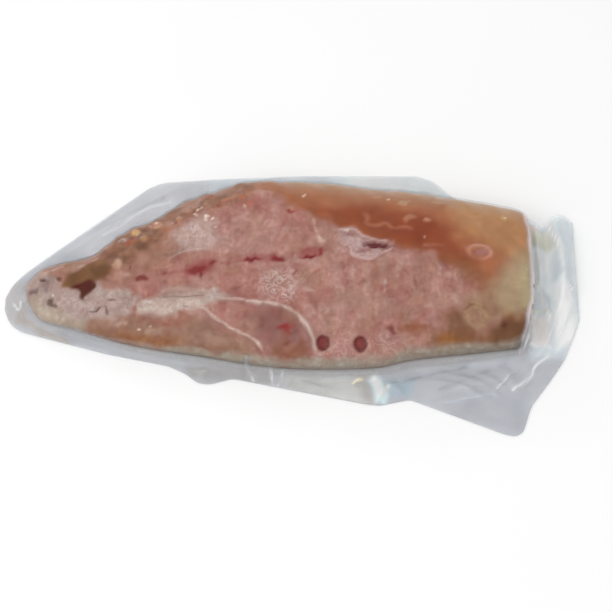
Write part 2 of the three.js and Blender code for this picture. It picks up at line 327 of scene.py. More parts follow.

# Thin raised lines as [colour, strength, half width, height, drop on the lower side, points]. The lower side
# is also painted darker, as painted shade below each line.
RIDGES = [
    ((206, 178, 166), 0.85, 0.6, 0.6, 0.5, [(-55, -10.4), (-49.7, -9.8), (-41, -12), (-35, -17.7),
        (-28, -22.5), (-19, -26.9), (-14.7, -30.9), (-12.8, -34.5)]),
    ((212, 188, 177), 0.85, 0.7, 0.7, 0.5, [(-36.8, -7.6), (-25, -8.9), (-15, -10.7), (-6.7, -11.8),
        (-1, -14.6), (4.4, -18.6), (8.7, -24.5), (10.5, -30),
        (11.8, -36.2)]),
    ((198, 176, 164), 0.8, 1.6, 0.4, 0.2, [(-74, -10.9), (-66.7, -12), (-52, -13.2)]),
    ((186, 158, 148), 0.7, 1.2, 0.4, 0.4, [(-63, -4), (-60.5, -2.2), (-52, -1.4), (-40, -3.6)]),
    ((204, 168, 150), 0.9, 1.0, 0.45, 0.3, [(10.9, 33.9), (11.8, 26.9), (13.3, 21.5), (16.7, 20)]),
    ((190, 126, 98), 0.5, 0.8, 0.3, 0.2, [(33, 38), (37, 34.5), (36, 31), (41, 29), (45, 30.4),
        (49, 27.4), (55, 28.6), (59, 26)]),
    ((208, 176, 170), 0.8, 0.5, 0.4, 0.1, [(22, 20), (28, 17), (29, 13), (37, 10.6), (42, 13),
        (49.5, 17)]),
    ((208, 178, 174), 0.75, 0.45, 0.4, 0.1, [(22, 27), (30, 27), (36, 22.6), (47, 20.2)]),
    ((196, 170, 162), 0.65, 0.6, 0.4, 0.2, [(-60, 14.2), (-49.7, 18.7), (-38.7, 18.6)]),
    ((190, 132, 112), 0.5, 0.7, 0.3, 0.1, [(62, 19), (65, 18), (69, 18.6), (73, 17.6)]),
]

# Grooves as [colour, strength, half width, depth, points].
GROOVES = [
    ((140, 112, 106), 0.6, 0.7, 0.5, [(-61, 17), (-55, 18), (-49.7, 20.8)]),
    ((134, 106, 98), 0.7, 0.4, 0.4, [(-63, -5), (-55, -5.2), (-41.8, -6)]),
    ((112, 60, 36), 0.7, 0.6, 0.3, [(82.5, -14), (86, -12.2), (90.5, -13.4)]),
]

# Raised rings as [colour, x, y, half length, half width, width of the rim, height].
RINGS = [
    ((206, 152, 132), 89.8, 15.2, 5.4, 3.6, 0.8, 0.7),
    ((168, 134, 104), 87.0, -17.5, 4.2, 4.6, 1.5, 0.4),
    ((196, 146, 104), 88.5, 37.0, 3.0, 2.0, 0.6, 0.3),
]

# Frosted, crinkled places as [x, y, half length, half width, strength].
FROSTED = [(-5, -2, 11, 10, 0.8), (-1, -6, 5, 6, 0.9), (-45, 29, 11, 9, 0.7), (-100, -6, 26, 7, 0.35),
           (36, 17, 14, 7, 0.5), (20, -33, 14, 4, 0.35), (45, -30, 8, 5, 0.4)]

# Creases in the loose film as [height, half width, points], each highest at its middle.
CREASES = [
    # Past the cut end.
    (3.2, 1.1, [(117.5, 47), (119, 30), (120, 12), (119.5, -4)]),
    (2.6, 0.9, [(120, 6), (123, -4), (126, -14)]),
    (3.0, 1.0, [(129, 44), (130, 34), (132, 26)]),
    (2.0, 1.4, [(134, 36), (132, 20), (134, 4)]),
    (2.8, 1.6, [(133, 10), (128, -6), (123, -20), (116, -34)]),
    (1.8, 1.0, [(136, 2), (131, -12), (125, -26)]),
    (2.2, 0.9, [(119, -6), (115, -22), (110, -34)]),
    # Fan from the fillet's corner to the flap.
    (1.6, 1.6, [(60, -42), (82, -46), (104, -62)]),
    (1.8, 1.5, [(70, -38), (90, -44), (106, -60)]),
    (1.6, 1.3, [(84, -36), (98, -44), (107, -58)]),
    (2.0, 1.2, [(100, -34), (106, -46), (108, -60)]),
    (1.9, 0.9, [(118, -36), (111, -46), (104, -53)]),
    (1.4, 0.8, [(110, -36), (103, -44), (97, -50)]),
    # Tabs on the front margin.
    (2.6, 1.3, [(41, -39), (43, -46), (41, -54)]),
    (1.6, 1.0, [(47, -41), (51, -47), (54, -51)]),
    (1.6, 1.4, [(-40, -35), (-42, -39), (-41, -43)]),
    (0.9, 0.8, [(2, -41), (8, -44), (20, -47)]),
    # Along the back margin.
    (1.2, 1.6, [(-96, 33), (-80, 46), (-66, 54)]),
    (1.0, 1.2, [(-118, 20), (-100, 33), (-86, 44)]),
    (0.9, 1.6, [(-44, 64), (-10, 66), (30, 65)]),
    (0.9, 1.2, [(20, 66), (46, 64), (66, 60)]),
    (0.9, 0.9, [(-72, 54), (-60, 62), (-50, 66)]),
    # Round the tail.
    (0.9, 1.0, [(-134, 2), (-128, 0), (-124, -2)]),
    (0.8, 0.9, [(-131, -9), (-118, -14), (-104, -20)]),
]

# Pleats past the cut end as [x, y, half width, half length, height].
PLEATS = [(120, 22, 3.0, 24, 4.2), (131, 20, 4.0, 26, 7.0)]
PLEAT_START = (112, 120)

# Places in the film as [colour on the pale floor, haze, strength, softness, outline]: its tones and milky
# patches, and among them painted highlights, painted shade and patches painted lighter against the cut end's
# shade.
FILM_TONES_HIGHLIGHTS_AND_SHADE = [
    ((214, 219, 223), 0.32, 1.0, 4.0, [(-60, 78), (96, 78), (96, 30), (-40, 50)]),
    ((213, 219, 223), 0.38, 1.0, 4.0, [(111, 56), (144, 56), (144, -32), (114, -32)]),
    ((216, 198, 190), 0.5, 0.9, 1.6, [(110, 49), (120, 39), (116, 32), (111, 38)]),
    # This zone and the next are painted lighter, a painted pool of light against the shade of the fillet's
    # cut end.
    ((214, 212, 198), 0.5, 0.85, 2.6, [(115, 38), (127, 37), (128, 27), (117, 26)]),
    ((228, 233, 236), 0.5, 0.9, 2.0, [(116, 26), (127, 27), (125, 2), (118, 6)]),
    # Painted shade: a darker blue-grey patch beside the bright fold past the cut end.
    ((206, 214, 218), 0.4, 0.9, 1.4, [(128, 42), (133, 39), (131, 27), (129.5, 27)]),
    # Painted highlight: the brightest white patch past the cut end.
    ((234, 242, 247), 0.6, 1.0, 2.6, [(125, 8), (131, 11), (136, 0), (135, -20), (127, -26), (126, -8)]),
    # Painted lighter against the shade of the fillet's cut end.
    ((216, 212, 210), 0.5, 0.95, 1.8, [(116, -9), (124, -9), (123, -25), (114, -24)]),
    ((202, 202, 205), 0.27, 0.9, 4.0, [(-112, 28), (-62, 70), (-40, 74), (-44, 56), (-70, 40),
        (-98, 22)]),
    ((186, 182, 180), 0.22, 0.9, 3.0, [(-140, 12), (-128, 10), (-126, -12), (-140, -14)]),
    ((178, 170, 162), 0.5, 0.8, 2.5, [(-130, -1), (-128, -9), (-120, -14), (-106, -20), (-104, -25),
        (-120, -19), (-132, -12)]),
    ((172, 168, 165), 0.26, 0.8, 3.0, [(-50, -34), (-12, -37), (-8, -44), (-30, -43), (-48, -43)]),
    ((204, 204, 200), 0.34, 0.9, 3.0, [(-4, -39), (30, -41), (40, -56), (26, -54), (-4, -47)]),
    # Painted shade: a darker blue-grey patch beside the tab's bright fold.
    ((184, 180, 172), 0.26, 0.8, 2.4, [(30, -39), (41, -41), (41, -55), (34, -52)]),
    # Painted highlight: the blue-white patch on the tab's fold.
    ((176, 194, 204), 0.26, 0.9, 2.0, [(44, -42), (58, -42), (56, -51), (46, -50)]),
    ((218, 236, 242), 0.5, 0.85, 2.2, [(37, -43), (43, -42), (46, -50), (45, -56), (40, -54)]),
    ((206, 210, 216), 0.26, 0.8, 3.0, [(84, -30), (108, -31), (112, -38), (84, -36)]),
    ((178, 181, 188), 0.22, 0.9, 4.0, [(84, -46), (108, -50), (112, -74), (80, -60)]),
]

# Painted highlights and painted shade along folds in the film, as [colour on the pale floor, strength, half
# width, points]: the bright lines are painted highlights and the dark grey lines on the flap are painted
# shade in its creases.
FOLD_HIGHLIGHTS_AND_SHADE = [
    # Down the cut end, and beyond it.
    ((222, 208, 204), 0.8, 1.2, [(112.8, 42), (113.8, 32), (114.8, 20), (115.4, 4), (114.2, -8),
        (111.4, -20), (108.6, -29)]),
    ((244, 248, 250), 0.9, 0.8, [(126.3, 43), (127.5, 36), (130, 25), (131, 16)]),
    ((240, 244, 246), 0.8, 0.9, [(117, 9), (120, 1), (122.4, -6), (124.2, -13)]),
    ((246, 248, 250), 0.8, 0.7, [(110, -26), (114.5, -15), (117.6, -7.4)]),
    ((224, 222, 190), 0.7, 0.6, [(117.6, -7.4), (121, -6), (125, -7)]),
    ((246, 248, 250), 0.8, 0.5, [(113, -23.4), (119, -24.6), (124, -25)]),
    ((250, 240, 222), 0.9, 0.7, [(133.6, 8), (135.4, 6), (134, 4)]),
    # On the flap.
    ((240, 243, 247), 0.75, 1.0, [(121.7, -30), (115, -36.4), (113.5, -40.6), (108, -45.4),
        (104.4, -48.2)]),
    ((232, 236, 241), 0.65, 0.6, [(95.2, -48.2), (98.9, -44.2), (106.3, -37.3)]),
    ((204, 210, 217), 0.55, 1.1, [(71.2, -54.4), (82.3, -51.8), (95, -50.4)]),
    # Painted shade: dark grey lines in the flap's creases.
    ((150, 158, 166), 0.6, 0.9, [(46, -44), (57.6, -41.8), (68.2, -39), (82, -35)]),
    ((160, 168, 176), 0.45, 0.9, [(70, -46.4), (86.5, -40.4), (102, -33)]),
    ((198, 203, 208), 0.5, 1.5, [(62, -52), (84, -45), (108, -38)]),
    # The bright fold and the tabs on the front margin.
    ((240, 250, 255), 0.8, 1.2, [(39, -42), (40.4, -46), (42, -50), (45.6, -45.4)]),
    ((228, 216, 196), 0.8, 0.9, [(29, -43.4), (31.4, -42.2), (34, -42.8)]),
    ((216, 214, 214), 0.75, 0.9, [(-20.6, -36), (-19.6, -39), (-18.6, -41.6)]),
    ((220, 220, 222), 0.75, 0.9, [(-9.4, -39), (-8.8, -42), (-8, -45)]),
    ((214, 214, 216), 0.7, 0.8, [(-4.4, -40), (-4.8, -42.6), (-6.4, -45.4)]),
    ((228, 220, 212), 0.7, 0.6, [(-46, -37), (-43, -38), (-40, -37.8)]),
    # Beside the upper left edge, and at the tail.
    ((226, 226, 228), 0.6, 1.8, [(-92, 36), (-82, 44), (-71, 51.4), (-60, 56)]),
    ((180, 182, 186), 0.6, 1.4, [(-90, 41), (-78, 50), (-64, 58)]),
    ((240, 240, 242), 0.7, 0.5, [(-134, -0.6), (-131.4, -4), (-130, -0.4)]),
]

FILM_PLAIN = srgb(190, 192, 197)
FILM_HAZE = 0.22
# Haze where the painted highlight and shade lines of the folds lie.
PAINTED_FOLD_HAZE = 0.65
GLOSS_FACING = 0.007
GLOSS_EDGE = 0.4

# Painted shade: the dark crease line in the film along the fillet's foot.
FOOT_SHADE = srgb(112, 120, 124)
FOOT_SHADE_DROP = 1.2
FOOT_SHADE_WIDTH = 0.8
FOOT_SHADE_START = (-80, -30)

# Steep film has less haze. Plain haze thins first, then all of it, but for the film past the cut end.
STEEP_SLOPE = (1.0, 3.0)
STEEP_CLEARING = 0.7
UPRIGHT_SLOPE = (0.8, 2.5)
UPRIGHT_CLEARING = 0.8
END_FILM = (108, 116)

# Seen straight down, plain haze in both films adds this share of the white floor, and their own colour
# counts for this much.
FLOOR_SHARE = 0.14
HAZE_SHARE = 0.6


# --- Small tools ---

def mix(low, high, share):
    """From low to high, by a share for each point."""
    return low + (high - low) * np.asarray(share)[..., None]


def ease(low, high, value):
    """0 below low, 1 above high and smooth between."""
    share = np.clip((value - low) / (high - low), 0, 1)
    return share * share * (3 - 2 * share)


def noise(points, size, seed):
    """Smooth noise from -1 to 1 whose lumps are about size mm across."""
    cells = 32
    lattice = np.random.default_rng(seed).uniform(-1, 1, (cells, cells, cells))
    place = points / size
    cell = np.floor(place).astype(int)
    part = place - cell
    part = part * part * (3 - 2 * part)
    total = np.zeros(len(points))
    for corner in itertools.product((0, 1), repeat=3):
        corner = np.array(corner)
        weight = np.where(corner, part, 1 - part).prod(axis=1)
        i, j, k = ((cell + corner) % cells).T
        total += weight * lattice[i, j, k]
    return total


def layered(points, size, seed, layers=3):
    """Noise with finer, weaker noise on it."""
    return sum(noise(points, size / 2 ** k, seed + k) / 2 ** k for k in range(layers))


def flat(points):
    return np.column_stack([points[:, :2], np.zeros(len(points))])


def smooth_line(points, steps=6):
    """A Catmull-Rom curve through the points."""
    points = np.array(points, float)
    padded = np.vstack([2 * points[0] - points[1], points, 2 * points[-1] - points[-2]])
    made = []
    for a, b, c, d in zip(padded, padded[1:], padded[2:], padded[3:]):
        for t in np.arange(steps) / steps:
            made.append(0.5 * (2 * b + (c - a) * t + (2 * a - 5 * b + 4 * c - d) * t ** 2
                               + (3 * b - a - 3 * c + d) * t ** 3))
    return np.array(made + [points[-1]])


def by_line(xy, line):
    """Each point's distance from a line, how far along it is from 0 to 1, and its side."""
    lengths = np.hypot(*np.diff(line, axis=0).T)
    starts = np.concatenate([[0], np.cumsum(lengths)])
    nearest = np.full(len(xy), np.inf)
    along = np.zeros(len(xy))
    side = np.zeros(len(xy))
    for a, b, length, start in zip(line, line[1:], lengths, starts):
        step = b - a
        share = np.clip(((xy - a) @ step) / max(step @ step, 1e-9), 0, 1)
        off = xy - (a + share[:, None] * step)
        distance = np.hypot(*off.T)
        closer = distance < nearest
        nearest = np.where(closer, distance, nearest)
        along = np.where(closer, (start + share * length) / starts[-1], along)
        side = np.where(closer, np.sign(step[0] * off[:, 1] - step[1] * off[:, 0]), side)
    return nearest, along, side


def inside(xy, outline, softness):
    """1 well inside an outline, 0 well outside and smooth across its edge."""
    outline = np.array(outline, float)
    closed = np.vstack([outline, outline[:1]])
    distance, _, _ = by_line(xy, closed)
    within = np.zeros(len(xy), bool)
    for (x0, y0), (x1, y1) in zip(closed, closed[1:]):
        crosses = (y0 > xy[:, 1]) != (y1 > xy[:, 1])
        level = (xy[:, 1] - y0) / np.where(y1 == y0, 1e-9, y1 - y0)
        within ^= crosses & (xy[:, 0] < x0 + level * (x1 - x0))
    return ease(-softness, softness, np.where(within, distance, -distance))


def in_ellipse(xy, x, y, half_length, half_width, turn=0.0):
    """How far out each point is, 1 on the ellipse's edge."""
    angle = math.radians(turn)
    dx, dy = (xy[:, :2] - (x, y)).T
    along = dx * math.cos(angle) + dy * math.sin(angle)
    across = dy * math.cos(angle) - dx * math.sin(angle)
    return np.hypot(along / half_length, across / half_width)


def points_of(mesh):
    values = np.zeros(len(mesh.vertices) * 3, np.float32)
    mesh.vertices.foreach_get("co", values)
    return values.reshape(-1, 3).astype(float) / MM


def normals_of(mesh):
    values = np.zeros(len(mesh.vertices) * 3, np.float32)
    mesh.vertex_normals.foreach_get("vector", values)
    return values.reshape(-1, 3).astype(float)


def move_points(mesh, points):
    mesh.vertices.foreach_set("co", (points * MM).astype(np.float32).ravel())
    mesh.update()


def store_number(mesh, name, values):
    mesh.attributes.new(name, "FLOAT", "POINT").data.foreach_set("value", values.astype(np.float32))


def store_colour(mesh, name, colours):
    whole = np.column_stack([colours, np.ones(len(colours))])
    attribute = mesh.attributes.new(name, "FLOAT_COLOR", "POINT")
    attribute.data.foreach_set("color", whole.astype(np.float32).ravel())


def smoothed(points, edges, rounds):
    """The points after each has moved to its neighbours' middle, rounds times."""
    count = np.bincount(edges.ravel(), minlength=len(points))[:, None]
    for _ in range(rounds):
        total = np.column_stack([
            np.bincount(edges[:, 0], points[edges[:, 1], axis], len(points))
            + np.bincount(edges[:, 1], points[edges[:, 0], axis], len(points))
            for axis in range(3)
        ])
        points = total / count
    return points


# --- Fillet ---

def fillet_blank():
    """The CAD fillet, made again of even small faces and smoothed."""
    blank = bpy.data.objects.new("blank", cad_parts["fish_fillet"].data.copy())
    bpy.context.scene.collection.objects.link(blank)
    shape = bmesh.new()
    shape.from_mesh(blank.data)
    bmesh.ops.remove_doubles(shape, verts=shape.verts, dist=1e-6)
    shape.to_mesh(blank.data)
    shape.free()
    remesh = blank.modifiers.new("even", "REMESH")
    remesh.mode = "VOXEL"
    remesh.voxel_size = FLESH_VOXEL * MM
    ready = blank.evaluated_get(bpy.context.evaluated_depsgraph_get())
    mesh = bpy.data.meshes.new_from_object(ready)
    bpy.data.objects.remove(blank)
    edges = np.zeros(len(mesh.edges) * 2, np.int32)
    mesh.edges.foreach_get("vertices", edges)
    lightly = smoothed(points_of(mesh), edges.reshape(-1, 2), END_SMOOTHING)
    fully = smoothed(lightly, edges.reshape(-1, 2), FLESH_SMOOTHING)
    at_end = ease(*END_BLEND, lightly[:, 0])
    move_points(mesh, fill_out_tail(mix(fully, lightly, at_end)))
    mesh.name = "fillet_flesh"
    mesh.materials.clear()
    mesh.shade_smooth()
    return mesh


def fill_out_tail(points):
    """The points with the thin tail drawn out towards its blunt front corner."""
    share = 1 - ease(*TAIL_BLEND, points[:, 0])
    front = 1 - ease(*TAIL_FRONT, points[:, 1])
    drawn = points.copy()
    drawn[:, 0] -= TAIL_LENGTHENING * share
    drawn[:, 1] -= TAIL_WIDENING * share * front
    return drawn


def trim_end(points):
    """The points with the cut end as a clean, slightly bowed face."""
    off_crown = points[:, 1] - END_CROWN_Y
    bow = np.where(off_crown > 0, END_BOW_BACK, END_BOW_BELLY)
    past = (points[:, 0] - END_CROWN_X + bow * off_crown ** 2) / END_ROUNDING
    trimmed = points.copy()
    trimmed[:, 0] -= END_ROUNDING * np.logaddexp(0, past)
    return trimmed


def flesh_lumps(points, up):
    """Height of the flesh's own unevenness."""
    ground = flat(points)
    lumps = 0.5 * noise(ground, 19, 11) + 0.24 * noise(ground, 7, 12) + 0.13 * noise(ground, 3.2, 13)
    flakes = np.sin((points[:, 0] + 0.012 * (points[:, 1] - 12) ** 2) / 1.9 + 2.4 * noise(ground, 15, 14))
    return up * (lumps + 0.13 * flakes)


def ragged_edge(points, up):
    """How far the torn upper left edge stands out."""
    left = ease(-118, -96, points[:, 0]) * (1 - ease(-40, -10, points[:, 0]))
    back = ease(4, 30, points[:, 1] - 0.35 * (points[:, 0] + 100))
    torn = 2.3 * noise(points, 8.0, 21) + 1.1 * noise(points, 4.2, 22) - 1.0
    return left * back * torn * (1 - 0.5 * up)


def paint_and_shape(points, normals):
    """The flesh's colour, frost, glassiness and height at each point, from the lists of features; the colour
    holds painted highlights, a painted rim light and painted shade.
    """
    up = ease(*UP_FACING, normals[:, 2])
    down = ease(*DOWN_FACING, -normals[:, 2])
    ground = flat(points)
    warp = np.column_stack([noise(ground, 6, 31) + 0.5 * noise(ground, 2.6, 32),
                            noise(ground, 6, 33) + 0.5 * noise(ground, 2.6, 34)])
    xy = points[:, :2] + 1.7 * warp
    small_xy = points[:, :2] + 0.42 * warp
    fine_warp = np.column_stack([noise(ground, 1.9, 36), noise(ground, 1.9, 37)])
    ragged_xy = points[:, :2] + 0.5 * warp + 0.9 * fine_warp
    rough = noise(ground, 4.2, 35)

    colour = np.tile(PINK, (len(points), 1))
    colour = mix(colour, PALE_PINK, 0.6 * ease(0.05, 0.75, layered(ground, 11, 41)))
    colour = mix(colour, DEEP_PINK, 0.5 * ease(0.1, 0.8, layered(ground, 8, 45)))
    colour = mix(colour, TAN_FLESH, 0.5 * ease(0.05, 0.6, layered(ground, 9, 47)))
    height = flesh_lumps(points, up)
    streaks = noise(np.column_stack([points[:, 0] / 0.45, points[:, 1] / 1.6, ground[:, 2]]), 8, 51)
    colour = mix(colour, PALE_PINK, 0.4 * ease(0.0, 0.7, streaks))
    colour = mix(colour, DARK_MUSCLE_AND_SHADE, 0.1 * ease(0.1, 0.8, layered(ground, 5, 55)))

    for tone, strength, softness, outline in ZONES:
        colour = mix(colour, srgb(*tone), strength * inside(xy, outline, softness))

    torn_edge = inside(xy, TORN, 4.0)
    patches = layered(ground, 5.5, 57)
    colour = colour * (1 + (0.1 + 0.24 * torn_edge) * patches)[:, None]

    bare = 1 - inside(xy, DARK_SPOT, 1.5)
    for tone, strength, x, y, length, width, turn, rise in MARKS:
        body = 1 - ease(0.55, 1.25, in_ellipse(ragged_xy, x, y, length, width, turn))
        bare *= 1 - body * (rise < 0)
        colour = mix(colour, srgb(*tone), strength * body)
        height += up * rise * body
    # Painted highlights: small white glints, each on a small raised bump.
    for index, (x, y) in enumerate(PAINTED_GLINTS):
        out = in_ellipse(ragged_xy, x, y, GLINT_LENGTH, GLINT_WIDTH, GLINT_TURN * index)
        body = 1 - ease(0.6, 1.3, out)
        colour = mix(colour, GLINT_WHITE, 0.7 * body)
        height += up * 0.3 * body
    for x, y, radius, depth in HOLES:
        out = in_ellipse(points[:, :2] + 0.2 * warp, x, y, radius, radius)
        body = 1 - ease(0.8, 1.08, out)
        bare *= 1 - body
        colour = mix(colour, HOLE_FLOOR, 0.96 * body)
        colour = mix(colour, HOLE_RIM, 0.7 * body * ease(0.4, 0.95, out))
        height -= up * depth * body
    for tone, strength, width, depth, line in GROOVES:
        distance, _, _ = by_line(small_xy, smooth_line(line))
        body = np.exp(-(distance / width) ** 2)
        colour = mix(colour, srgb(*tone), strength * body)
        height -= up * depth * body
    for tone, strength, width, rise, drop, line in RIDGES:
        distance, along, side = by_line(small_xy, smooth_line(line))
        fade = ease(0, 0.1, along) * (1 - ease(0.92, 1, along))
        reach = width * (1.05 + 0.45 * rough)
        body = np.exp(-(distance / reach) ** 2) * fade * (0.85 + 0.3 * rough)
        below = (side < 0) * np.exp(-(distance / (3 * width)) ** 2) * fade
        # Painted shade: the lower side of each raised line is painted darker.
        colour = mix(colour, DARK_MUSCLE_AND_SHADE, 0.35 * below * (1 - body))
        colour = mix(colour, srgb(*tone), strength * body)
        height += up * (rise * body - drop * below * (1 - body))
    for tone, x, y, length, width, rim, rise in RINGS:
        out = in_ellipse(small_xy, x, y, length, width)
        body = np.exp(-((out - 1) * min(length, width) / rim) ** 2) * (0.75 + 0.5 * rough)
        colour = mix(colour, srgb(*tone), 0.75 * body)
        height += up * rise * body

    frost = np.zeros(len(points))
    for x, y, length, width, strength in FROSTED:
        frost = np.maximum(frost, strength * (1 - ease(0.3, 1.2, in_ellipse(xy, x, y, length, width))))
    crinkle = 1 - np.abs(noise(points, 2.3, 61)) - 0.5 * np.abs(noise(points, 1.2, 62))
    height += up * 0.35 * frost * ease(0.55, 0.95, crinkle)
    frost *= (1 - down) * bare
    glassy = inside(xy, GLASSY, 3.0) * (1 - down)
    colour = paint_sides(colour, points, normals, up, down)
    colour = mix(colour, paint_belly(points), down)
    return np.clip((colour - FILM_LIFT) / STUDIO_GAIN, 0.003, 1), frost, glassy, height


def paint_sides(colour, points, normals, up, down):
    """The colour with the front wall, the rim at the back and the cut end painted over it. The rim is
    painted paler along the back as a painted rim light, and tan at the torn left end.
    """
    middle = ease(-90, -50, points[:, 0]) * (1 - ease(104, 116, points[:, 0]))
    front = ease(0.7, 1.0, -normals[:, 1] + 0.1 * layered(points, 9, 83)) * (0.2 + 0.8 * middle)
    wall = mix(WALL_FOOT, WALL, ease(1.5, 8.0, points[:, 2]))
    colour = mix(colour, wall, 0.9 * front)
    rim = ease(0.15, 0.7, normals[:, 1]) * (1 - down)
    # Painted rim light: the side facing the back is painted paler.
    colour = mix(colour, BACK_RIM_LIGHT, 0.7 * rim * ease(-25, 10, points[:, 0]))
    colour = mix(colour, TORN_RIM, 0.6 * rim * (1 - ease(-40, -15, points[:, 0])))
    end = ease(0.4, 0.9, normals[:, 0]) * (1 - up)
    rings = np.sin(np.hypot(points[:, 1] - 12, 2.2 * (points[:, 2] - 10)) / 1.3 + noise(points, 6, 71))
    return mix(colour, mix(END_FLESH, PALE_PINK, 0.5 + 0.5 * rings), 0.75 * end)


def paint_belly(points):
    """The underside's colour: slanting muscle lines on both sides of a dark middle line."""
    ground = flat(points)
    belly = mix(UNDER, PALE_PINK, 0.6 * ease(0, 0.8, layered(ground, 14, 81)))
    off_keel = points[:, 1] - KEEL_Y + 2 * noise(ground, 18, 82)
    belly = mix(belly, DEEP_PINK, 0.5 * ease(0.1, 0.9, layered(ground, 9, 85)))
    seams = np.sin((points[:, 0] + 0.8 * np.abs(off_keel)) / SEAM_PITCH + 1.2 * noise(ground, 12, 84))
    belly = mix(belly, PALE_SEAM, 0.5 * ease(0.8, 1.0, seams))
    return mix(belly, DARK_MUSCLE_AND_SHADE, 0.75 * np.exp(-(off_keel / KEEL_WIDTH) ** 2))


def make_fillet():
    mesh = fillet_blank()
    points = points_of(mesh)
    normals = normals_of(mesh)
    colour, frost, glassy, height = paint_and_shape(points, normals)
    up = ease(*UP_FACING, normals[:, 2])
    moved = points + normals * (FLESH_SWELL + height + ragged_edge(points, up))[:, None]
    moved = trim_end(moved)
    moved[:, 2] = np.maximum(moved[:, 2], FLESH_FLOOR)
    move_points(mesh, moved)
    store_colour(mesh, "flesh_colour", colour)
    store_number(mesh, "frost", frost)
    store_number(mesh, "glassy", glassy)
    mesh.materials.append(flesh_material())
    fillet = bpy.data.objects.new("fillet_flesh", mesh)
    bpy.context.scene.collection.objects.link(fillet)
    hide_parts("fish_fillet")
    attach(fillet, "root")
    return fillet


# --- Pouch ---

def pouch_outline(stations):
    """The pouch's front and back edge at each station, read off the CAD lower film."""
    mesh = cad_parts["pouch_lower_film"].data
    corners = points_of(mesh)[:, :2]
    front = np.full(len(stations), np.inf)
    back = np.full(len(stations), -np.inf)
    for edge in mesh.edges:
        (x0, y0), (x1, y1) = sorted(map(tuple, corners[list(edge.vertices)]))
        if x1 - x0 < 1e-4:
            continue
        covered = (stations >= x0 - 1e-4) & (stations <= x1 + 1e-4)
        y = y0 + (y1 - y0) * (stations - x0) / (x1 - x0)
        front = np.where(covered, np.minimum(front, y), front)
        back = np.where(covered, np.maximum(back, y), back)
    for _ in range(OUTLINE_ROUNDING):
        front[1:-1] = (front[:-2] + 2 * front[1:-1] + front[2:]) / 4
        back[1:-1] = (back[:-2] + 2 * back[1:-1] + back[2:]) / 4
    return front, back


def film_grid():
    """A ladder of points over the pouch, FILM_STATIONS long and FILM_ACROSS wide, as x and y."""
    low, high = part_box("pouch_lower_film")
    stations = np.linspace(low.x / MM, high.x / MM, FILM_STATIONS)
    front, back = pouch_outline(stations)
    across = np.linspace(0, 1, FILM_ACROSS)
    y = front[:, None] + (back - front)[:, None] * across
    x = np.repeat(stations[:, None], FILM_ACROSS, axis=1)
    return x, y


def flesh_top(fillet, x, y):
    """The flesh's height under each grid point, and 0 where there is none."""
    tree = BVHTree.FromObject(fillet, bpy.context.evaluated_depsgraph_get())
    top = np.zeros(x.shape)
    for index in np.ndindex(x.shape):
        start = Vector((x[index] * MM, y[index] * MM, RAY_HEIGHT * MM))
        hit = tree.ray_cast(start, Vector((0, 0, -1)))[0]
        if hit is not None:
            top[index] = hit.z / MM
    return top


def on_ground(x, y):
    """The grid's points in one list, at height 0."""
    return np.column_stack([x.ravel(), y.ravel(), np.zeros(x.size)])


def shifted(grid):
    """The grid's four neighbours, with its edges repeated."""
    padded = np.pad(grid, 1, mode="edge")
    return padded[:-2, 1:-1], padded[2:, 1:-1], padded[1:-1, :-2], padded[1:-1, 2:]


def crease_height(xy):
    total = np.zeros(len(xy))
    for rise, width, line in CREASES:
        distance, along, side = by_line(xy, smooth_line(line))
        reach = np.where(side > 0, width, 2.2 * width)
        swell = np.sin(math.pi * np.clip(along, 0.02, 0.98)) ** 0.7
        total += rise * swell * np.exp(-(distance / reach) ** 1.4)
    return total


def drape(x, y, top):
    """The upper film's height: on the flesh, drawn down beside it and creased where it is loose."""
    floor = np.full(x.shape, FILM_REST)
    held = np.where(top > 0, top + FILM_CLEARANCE, floor)
    held = np.maximum.reduce([held, *shifted(held)])
    height = held.copy()
    for _ in range(DRAPE_ROUNDS):
        height = np.maximum(held, sum(shifted(height)) / 4)
    ground = on_ground(x, y)
    loose = 1 - ease(0.5, 6.0, height)
    near_edge = np.minimum(np.arange(FILM_ACROSS), np.arange(FILM_ACROSS)[::-1]) / 3
    free = loose * (0.35 + 0.65 * np.clip(near_edge, 0, 1))
    crease = crease_height(ground[:, :2]).reshape(x.shape)
    ripple = (0.55 + 0.55 * layered(ground, 13, 91)).reshape(x.shape)
    end = ease(*PLEAT_START, x)
    pleats = sum(
        rise * np.exp(-((x - at_x) / half_width) ** 2 - ((y - at_y) / half_length) ** 4)
        for at_x, at_y, half_width, half_length, rise in PLEATS
    )
    return height + free * (crease + ripple) + end * pleats * (0.7 + 0.3 * loose)


